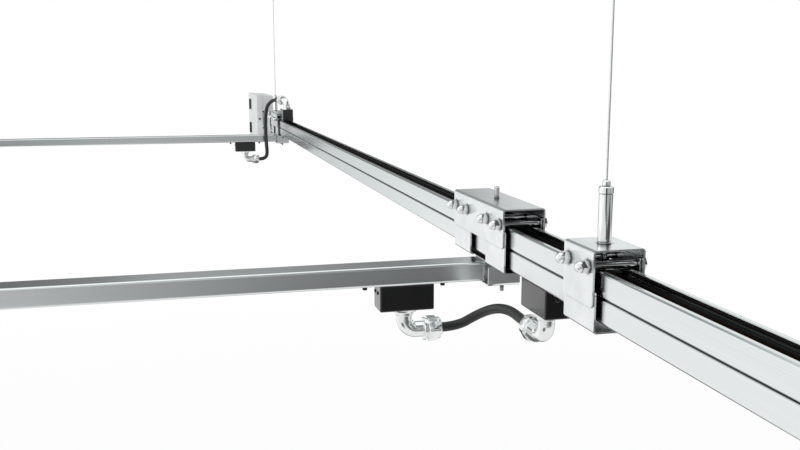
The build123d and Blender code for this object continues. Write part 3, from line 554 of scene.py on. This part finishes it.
# A tube out from the box, round a quarter turn and along the arm; its radius follows the root's rows first
def elbowRings(shape, face, out, heading, around=48):
    out, heading = np.array(out, float), np.array(heading, float)
    binormal = np.cross(out, heading)
    straight = shape["armDrop"] - shape["bend"]
    quarter = shape["bend"] * np.pi / 2
    end = straight + quarter + shape["armEnd"] - shape["bend"]
    root = shape["root"]
    quarterTurn = straight + quarter * np.linspace(0.04, 1, shape["quarterSteps"])
    path = np.concatenate([[row[0] for row in root], [straight], quarterTurn, [end]])
    beyond = len(path) - len(root)
    radius = np.concatenate([[row[1] for row in root], np.full(beyond, shape["tube"])])
    flats = np.concatenate([flatsOf(root), np.zeros(beyond)])
    turn = np.clip((path - straight) / shape["bend"], 0, np.pi / 2)[:, None]
    down = np.minimum(path, straight)[:, None]
    along = np.maximum(path - straight - quarter, 0)[:, None]
    centre = (spotOf(*face) + out * (down + shape["bend"] * np.sin(turn))
              + heading * (shape["bend"] * (1 - np.cos(turn)) + along))
    across = heading * np.cos(turn) - out * np.sin(turn)
    angle = np.linspace(0, 2 * np.pi, around, endpoint=False)[None, :]
    reach = ringReach(angle, radius[:, None], flats[:, None])
    return centre[:, None, :] + reach[..., None] * (
        np.cos(angle)[..., None] * across[:, None, :] + np.sin(angle)[..., None] * binormal)


for side in ("near", "far"):
    elbows = [elbowRings(connectorShape, *end) for end in connectorShape[side]]
    nuts = []
    for face, out, heading in connectorShape[side]:
        mouth = spotOf(*face) + np.array(out) * connectorShape["armDrop"]
        mouth = mouth + np.array(heading) * connectorShape["armEnd"]
        nuts.append(turnedRings(mouth, heading, connectorShape["nut"]))
    elbow = ringBody(f"angleConnectors_{side}", elbows)
    addPiece(elbow, "busway", "castBright")
    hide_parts(f"connectors_{side}")
    nut = ringBody(f"glandNuts_{side}", nuts)
    addPiece(nut, "busway", "castBright")
    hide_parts(f"gland_nuts_{side}")
print("connectors made")


# Threads: a copy of the bolt with its shank drawn in, and a screwed sleeve of the true outer size on it

threads = {
    "studs": {"radius": 4.0, "core": 3.35, "pitch": 1.25, "low": 25.9, "high": 41.3},
    "carrierBolts": {"radius": 3.0, "core": 2.45, "pitch": 1.0, "low": -102.9, "high": -94.4},
    "boltsAside": (-26.2, 26.2),
    "perPitch": 8,
    "around": 40,
    "chamfer": 0.8,
    "slack": 0.06,  # how far outside the thread's bounds the shank's own points may lie
    "inset": 0.3,  # how far under the thread's core the shank is drawn in
}
crossings = {"near": 327.0, "far": 2765.7}


# A CAD node's mesh in an object of its own, merged and without the normals it came with
def nodeCopy(node, name):
    mesh = nodes[node].data.copy()
    mesh.name = name
    if "custom_normal" in mesh.attributes:
        mesh.attributes.remove(mesh.attributes["custom_normal"])
    outward(mesh)
    return bpy.data.objects.new(name, mesh)


def spotsOf(mesh):
    spots = np.empty(len(mesh.vertices) * 3)
    mesh.vertices.foreach_get("co", spots)
    return spots.reshape(-1, 3)


def setSpots(mesh, spots, crisp=28.0):
    mesh.vertices.foreach_set("co", spots.ravel())
    mesh.update()
    mesh.shade_smooth()
    mesh.set_sharp_from_angle(angle=radians(crisp))


# Radius falls from the crest by the thread's depth times a triangle wave of height over pitch less the turn
def threadRings(thread, x, y):
    chamfer = threads["chamfer"]
    count = int((thread["high"] - thread["low"]) / thread["pitch"] * threads["perPitch"])
    rise = np.linspace(thread["low"], thread["high"], count)[:, None]
    angle = np.linspace(0, 2 * np.pi, threads["around"], endpoint=False)[None, :]
    wave = np.abs(((rise / thread["pitch"] - angle / (2 * np.pi)) % 1.0) * 2 - 1)
    fromEnd = np.minimum(thread["high"] - rise, rise - thread["low"])
    edge = thread["radius"] - np.clip(chamfer - fromEnd, 0, chamfer)
    reach = np.minimum(thread["radius"] - (thread["radius"] - thread["core"]) * wave, edge)
    z = np.broadcast_to(rise - ceilingDrop, reach.shape)
    return np.stack([x + reach * np.cos(angle), y + reach * np.sin(angle), z], axis=-1)


# The shank's points along the thread, moved in to just under the thread's core
def drawIn(mesh, thread, x, y):
    slack = threads["slack"]
    spots = spotsOf(mesh)
    aside = np.hypot(spots[:, 0] - x * mm, spots[:, 1] - y * mm)
    rise = spots[:, 2] / mm + ceilingDrop
    inside = aside < (thread["radius"] + slack) * mm
    inside &= (rise > thread["low"] - slack) & (rise < thread["high"] + slack)
    share = (thread["core"] - threads["inset"]) * mm / np.maximum(aside[inside], 1e-9)
    share = np.minimum(share, 1)
    spots[inside, 0] = x * mm + (spots[inside, 0] - x * mm) * share
    spots[inside, 1] = y * mm + (spots[inside, 1] - y * mm) * share
    return spots


for side, station in crossings.items():
    stud = nodeCopy(f"crossing_{side}_stud", f"crossingStud_{side}")
    setSpots(stud.data, drawIn(stud.data, threads["studs"], 0.0, station))
    addPiece(stud, "busway", "nickelPlate")
    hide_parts(f"crossing_{side}_stud")
    sleeve = ringBody(f"studThread_{side}", [threadRings(threads["studs"], 0.0, station)])
    addPiece(sleeve, "busway", "nickelPlate")
    tails = []
    bolts = nodeCopy(f"crossing_{side}_carrier_bolts", f"carrierBolts_{side}")
    for aside in threads["boltsAside"]:
        tails.append(threadRings(threads["carrierBolts"], 0.0, station + aside))
        setSpots(bolts.data, drawIn(bolts.data, threads["carrierBolts"], 0.0, station + aside))
    addPiece(bolts, "busway", "nickelPlate")
    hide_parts(f"crossing_{side}_carrier_bolts")
    addPiece(ringBody(f"carrierBoltThreads_{side}", tails), "busway", "nickelPlate")
print("threads cut")


# Cable grippers: a turned body with a rim at its foot, a groove under its collar, and a nozzle for the wire

cableGrippers = {
    "base": 22.5,
    "around": 64,
    "profile": ((0.0, 6.6), (0.0, 7.2), (0.3, 7.5), (1.6, 7.5), (2.0, 7.0), (2.6, 7.0), (3.0, 7.4),
                (53.2, 7.4), (53.2, 6.7), (54.4, 6.7), (54.4, 7.9), (60.4, 7.9), (61.4, 6.9), (61.4, 4.15),
                (66.7, 4.15), (67.9, 2.95), (67.9, 1.35), (66.9, 1.3)),
}
for side, station in suspensionWires["stations"].items():
    foot = spotOf(0.0, station, cableGrippers["base"])
    rings = turnedRings(foot, (0, 0, 1), cableGrippers["profile"], cableGrippers["around"])
    gripper = ringBody(f"cableGripper_{side}", [rings])
    addPiece(gripper, "busway", "nickelPlate")
    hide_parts(f"hanger_{side}_gripper")
print("grippers turned")


# Hanger saddles: the bent sheet reaches a little further down than the source's

deeperSaddle = {"below": -50.0, "by": 3.4}
for side in ("near", "far"):
    saddle = nodeCopy(f"hanger_{side}_saddle", f"hangerSaddle_{side}")
    spots = spotsOf(saddle.data)
    low = spots[:, 2] < (deeperSaddle["below"] - ceilingDrop) * mm
    spots[low, 2] -= deeperSaddle["by"] * mm
    setSpots(saddle.data, spots)
    addPiece(saddle, "busway", "bracketPlate")
    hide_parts(f"hanger_{side}_saddle")
print("saddles bent")


# Small screws: domed heads on the plug-in boxes' ends and the feed box, and the lateral boxes' lock knobs

screws = {
    "head": ((0.0, 2.8), (0.5, 2.8), (1.0, 2.5), (1.35, 1.7), (1.5, 0.9), (0.9, 0.8)),
    "feedHead": ((0.0, 3.5), (1.2, 3.5), (1.7, 3.1), (2.1, 2.1), (2.2, 1.2), (1.2, 1.1)),
    "knob": ((-0.6, 2.0), (3.4, 2.0), (3.4, 3.0), (3.9, 3.4), (7.2, 3.4), (7.7, 2.9), (7.7, 1.0),
             (6.6, 0.8)),
    "across": (-3.5, 11.5),
    "fromTrack": 12.5,
    "boxHalf": 38.5,
    "knobsAside": (-56.0, 56.0),
    "feedSpots": ((-20.5, 3248.0, 5.4), (-20.5, 3248.0, -66.2)),
    "around": {"head": 24, "feedHead": 28, "knob": 32},
}
# each box's seat on its track, the way along it, and 1 or -1 where it stands on or hangs below
boxSeats = {
    "under": ((0.0, 145.0, -54.4), (0, 1, 0), -1),
    "top": ((0.0, 2597.0, 0.0), (0, 1, 0), 1),
    "near": ((-135.0, 327.0, -88.2), (1, 0, 0), -1),
    "far": ((-145.0, 2765.7, -88.2), (1, 0, 0), -1),
}
for label, (seat, along, way) in boxSeats.items():
    along = np.array(along, float)
    across = np.array((along[1], along[0], 0.0))
    heads = []
    for end in (-1, 1):
        for aside in screws["across"]:
            spot = spotOf(*seat) + along * end * screws["boxHalf"] + across * aside
            spot = spot + np.array((0, 0, way * screws["fromTrack"]))
            heads.append(turnedRings(spot, along * end, screws["head"], screws["around"]["head"]))
    addPiece(ringBody(f"boxScrews_{label}", heads), "busway", "blackOxide")
knobs = []
for label in ("near", "far"):
    for aside in screws["knobsAside"]:
        seat = spotOf(*boxSeats[label][0]) + np.array((aside, 0, 0))
        knobs.append(turnedRings(seat, (0, 0, -1), screws["knob"], screws["around"]["knob"]))
lockKnobs = addPiece(ringBody("lockKnobs", knobs), "busway", "blackOxide")
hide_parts("lock_screws")
feedHeads = [turnedRings(spotOf(*spot), (0, -1, 0), screws["feedHead"], screws["around"]["feedHead"])
             for spot in screws["feedSpots"]]
addPiece(ringBody("feedScrews", feedHeads), "busway", "blackOxide")
print("screws fitted")


# Floor, backdrop and light

studio = {
    "floorDrop": 2400.0,
    "floorSize": 22.0,
    "floorLines": 9,
    "floorTone": (0.85, 0.85, 0.85),
    "floorRough": 0.8,
    "floorReach": (4.0, 9.0),  # metres from the middle between which the camera's share of white changes
    "floorShare": (0.93, 1.0),
    # painted reflection: shares of white that the floor glows with for metal only, behind the camera and
    # ahead;
    # marks go from markMetres to the left, at -1, to as far to the right, at 1
    "markMetres": 3.0,
    "floorBehind": ((-1.0, 0.85), (-0.5, 0.55), (-0.2, 0.38), (0.107, 0.22), (0.427, 0.13), (0.66, 0.085),
                    (0.83, 0.08)),
    "floorAhead": ((-1.0, 1.0), (-0.4, 1.0), (-0.04, 0.05), (0.25, 0.05), (0.5, 0.6), (1.0, 0.6)),
    "behindFades": (-4.5, -2.5),  # metres along the run where the floor behind gives way to the part below
    "aheadFades": (1.0, 2.2),  # and that part to the floor ahead
    # shares of white that surfaces see in the room, low and high, behind the camera and ahead; a mark is
    # the X of the way that they look
    "behindLow": ((-1.0, 1.0), (-0.62, 1.0), (-0.5, 0.10), (-0.16, 0.10), (-0.04, 0.62), (0.08, 0.48),
                  (0.30, 0.45), (1.0, 0.60)),
    "behindHigh": ((-1.0, 1.0), (-0.1, 0.85), (0.08, 0.48), (0.26, 0.22), (0.36, 0.08), (0.76, 0.08),
                   (0.88, 0.60), (1.0, 0.62)),
    "aheadHigh": ((-1.0, 1.0), (-0.62, 1.0), (-0.42, 0.95), (-0.22, 0.10), (-0.08, 0.22), (-0.01, 0.42),
                  (0.10, 0.36), (0.26, 0.20), (0.36, 0.70), (0.46, 0.9), (1.0, 0.9)),
    "aheadLow": ((-1.0, 1.0), (-0.32, 1.0), (-0.25, 0.90), (-0.17, 0.70), (-0.12, 0.48), (-0.04, 0.20),
                 (0.10, 0.10), (1.0, 0.10)),
    "turnFades": (-0.3, 0.3),  # the way's Y where behind gives way to ahead
    "highFades": (0.0, 0.12),  # the way's Z where low gives way to high
    "zenith": 0.95,
    "zenithFades": (0.55, 0.9),  # and where high gives way to the zenith, less a lean for ways behind
    "zenithLean": 0.5,
    "roomTone": (0.97, 1.0, 1.0),
    "floorBelow": 0.9,  # what metal sees in the floor straight below
    "paintedDarkReflection": (-2.1, -1.7, -2.4),  # painted reflection: a darker spot in the floor's glow for metal, seen in the domed nuts
    "patchReach": (0.7, 1.3),
    "patchShare": (0.1, 1.0),
    "overPower": 16.0,
    "overSize": 4.0,
    "overPlace": (-0.4, 1.2, 2.4),
    "overAim": (-0.2, 1.2, -0.5),
    "sidePower": 18.0,
    "sideSize": 3.0,
    "sidePlace": (-4.2, 1.8, 0.2),
    "sideAim": (0.0, 1.2, -0.5),
}


# A mix of two numbers by a share; each of the three is a plain number or a socket
def blended(tree, share, low, high):
    mix = addNode(tree, "ShaderNodeMix", data_type='FLOAT')
    for socket, value in zip((mix.inputs[0], mix.inputs[2], mix.inputs[3]), (share, low, high)):
        if isinstance(value, (int, float)):
            socket.default_value = value
        else:
            tree.links.new(value, socket)
    return mix.outputs[0]


# A colour ramp that gives the share of white at each mark between -1 and 1
def shareAt(tree, source, marks):
    scaled = addNode(tree, "ShaderNodeMath", operation='MULTIPLY_ADD')
    scaled.inputs[1].default_value = 0.5
    scaled.inputs[2].default_value = 0.5
    tree.links.new(source, scaled.inputs[0])
    ramp = addNode(tree, "ShaderNodeValToRGB")
    stops = ramp.color_ramp.elements
    while len(stops) < len(marks):
        stops.new(0.5)
    for stop, (spot, share) in zip(stops, marks):
        stop.position = (spot + 1) / 2
        stop.color = (share, share, share, 1)
    tree.links.new(scaled.outputs[0], ramp.inputs["Fac"])
    return ramp.outputs["Color"]


# Near white to the camera, with the object's shadow; to metal a painted reflection, a floor that glows in
# shades of white
def makeFloor(setup):
    half = setup["floorSize"] / 2
    edge = np.linspace(-half, half, setup["floorLines"])
    x, y = np.meshgrid(edge, edge)
    z = np.full_like(x, -setup["floorDrop"] * mm)
    floor = gridMesh("studioFloor", np.stack([x, y, z], axis=-1), closeAround=False)
    bpy.context.scene.collection.objects.link(floor)
    material = bpy.data.materials.new("paleFloor")
    material.use_nodes = True
    tree = material.node_tree
    shader = tree.nodes["Principled BSDF"]
    shader.inputs["Base Color"].default_value = (*setup["floorTone"], 1)
    shader.inputs["Roughness"].default_value = setup["floorRough"]
    coords = addNode(tree, "ShaderNodeTexCoord")
    split = addNode(tree, "ShaderNodeSeparateXYZ")
    reach = addNode(tree, "ShaderNodeVectorMath", operation='LENGTH')
    path = addNode(tree, "ShaderNodeLightPath")
    white = addNode(tree, "ShaderNodeEmission", Strength=1.0)
    paintedReflectionGlow = addNode(tree, "ShaderNodeEmission")
    tree.links.new(coords.outputs["Object"], split.inputs[0])
    tree.links.new(coords.outputs["Object"], reach.inputs[0])
    mark = addNode(tree, "ShaderNodeMath", operation='DIVIDE')
    mark.inputs[1].default_value = setup["markMetres"]
    tree.links.new(split.outputs["X"], mark.inputs[0])
    back = shareAt(tree, mark.outputs[0], setup["floorBehind"])
    front = shareAt(tree, mark.outputs[0], setup["floorAhead"])
    away = addNode(tree, "ShaderNodeVectorMath", operation='DISTANCE')
    away.inputs[1].default_value = setup["paintedDarkReflection"]
    tree.links.new(coords.outputs["Object"], away.inputs[0])
    patch = easedBetween(tree, away.outputs["Value"], setup["patchReach"], setup["patchShare"])
    below = addNode(tree, "ShaderNodeMath", operation='MULTIPLY')
    below.inputs[1].default_value = setup["floorBelow"]
    tree.links.new(patch, below.inputs[0])
    near = easedBetween(tree, split.outputs["Y"], setup["behindFades"], (0.0, 1.0))
    ahead = easedBetween(tree, split.outputs["Y"], setup["aheadFades"], (0.0, 1.0))
    hither = blended(tree, near, back, below.outputs[0])
    # painted reflection: the floor's glow, seen by mirrored rays only
    tree.links.new(blended(tree, ahead, hither, front), paintedReflectionGlow.inputs["Strength"])
    share = easedBetween(tree, reach.outputs["Value"], setup["floorReach"], setup["floorShare"])
    seen = addNode(tree, "ShaderNodeMath", operation='MULTIPLY')
    tree.links.new(share, seen.inputs[0])
    tree.links.new(path.outputs["Is Camera Ray"], seen.inputs[1])
    mirrored = addNode(tree, "ShaderNodeMath", operation='MAXIMUM')
    tree.links.new(path.outputs["Is Glossy Ray"], mirrored.inputs[0])
    tree.links.new(path.outputs["Is Transmission Ray"], mirrored.inputs[1])
    toCamera = addNode(tree, "ShaderNodeMixShader")
    toMetal = addNode(tree, "ShaderNodeMixShader")
    tree.links.new(seen.outputs[0], toCamera.inputs[0])
    tree.links.new(shader.outputs[0], toCamera.inputs[1])
    tree.links.new(white.outputs[0], toCamera.inputs[2])
    tree.links.new(mirrored.outputs[0], toMetal.inputs[0])
    tree.links.new(toCamera.outputs[0], toMetal.inputs[1])
    tree.links.new(paintedReflectionGlow.outputs[0], toMetal.inputs[2])
    tree.links.new(toMetal.outputs[0], tree.nodes["Material Output"].inputs["Surface"])
    floor.data.materials.append(material)


# White to the camera; to surfaces a soft white room with darker stretches behind the camera and ahead, as
# the photo's reflections show
def makeWorld(setup):
    world = bpy.data.worlds.new("softRoom")
    bpy.context.scene.world = world
    world.use_nodes = True
    tree = world.node_tree
    tree.nodes.clear()
    coords = addNode(tree, "ShaderNodeTexCoord")
    split = addNode(tree, "ShaderNodeSeparateXYZ")
    tree.links.new(coords.outputs["Generated"], split.inputs[0])
    side, ahead, height = split.outputs["X"], split.outputs["Y"], split.outputs["Z"]
    front = easedBetween(tree, ahead, setup["turnFades"], (0.0, 1.0))
    behindLow, aheadLow, behindHigh, aheadHigh = (
        shareAt(tree, side, setup[part]) for part in ("behindLow", "aheadLow", "behindHigh", "aheadHigh"))
    low = blended(tree, front, behindLow, aheadLow)
    high = blended(tree, front, behindHigh, aheadHigh)
    level = blended(tree, easedBetween(tree, height, setup["highFades"], (0.0, 1.0)), low, high)
    lean = addNode(tree, "ShaderNodeMath", operation='MINIMUM')
    lean.inputs[1].default_value = 0.0
    tree.links.new(ahead, lean.inputs[0])
    rise = addNode(tree, "ShaderNodeMath", operation='MULTIPLY_ADD')
    rise.inputs[1].default_value = setup["zenithLean"]
    tree.links.new(lean.outputs[0], rise.inputs[0])
    tree.links.new(height, rise.inputs[2])
    overhead = easedBetween(tree, rise.outputs[0], setup["zenithFades"], (0.0, 1.0))
    strength = blended(tree, overhead, level, setup["zenith"])
    room = addNode(tree, "ShaderNodeBackground")
    room.inputs["Color"].default_value = (*setup["roomTone"], 1)
    tree.links.new(strength, room.inputs["Strength"])
    white = addNode(tree, "ShaderNodeBackground", Strength=1.0, Color=(1, 1, 1, 1))
    path = addNode(tree, "ShaderNodeLightPath")
    mix = addNode(tree, "ShaderNodeMixShader")
    end = addNode(tree, "ShaderNodeOutputWorld")
    tree.links.new(path.outputs["Is Camera Ray"], mix.inputs[0])
    tree.links.new(room.outputs[0], mix.inputs[1])
    tree.links.new(white.outputs[0], mix.inputs[2])
    tree.links.new(mix.outputs[0], end.inputs["Surface"])


def makeLamp(name, power, size, spot, aim):
    data = bpy.data.lights.new(name, 'AREA')
    data.energy = power
    data.size = size
    lamp = bpy.data.objects.new(name, data)
    lamp.location = spot
    lamp.rotation_euler = (Vector(aim) - Vector(spot)).to_track_quat('-Z', 'Y').to_euler()
    lamp.visible_camera = False
    bpy.context.scene.collection.objects.link(lamp)


makeFloor(studio)
makeWorld(studio)
for lamp in ("over", "side"):
    makeLamp(f"{lamp}Lamp", studio[f"{lamp}Power"], studio[f"{lamp}Size"], studio[f"{lamp}Place"],
             studio[f"{lamp}Aim"])
print("studio lit")
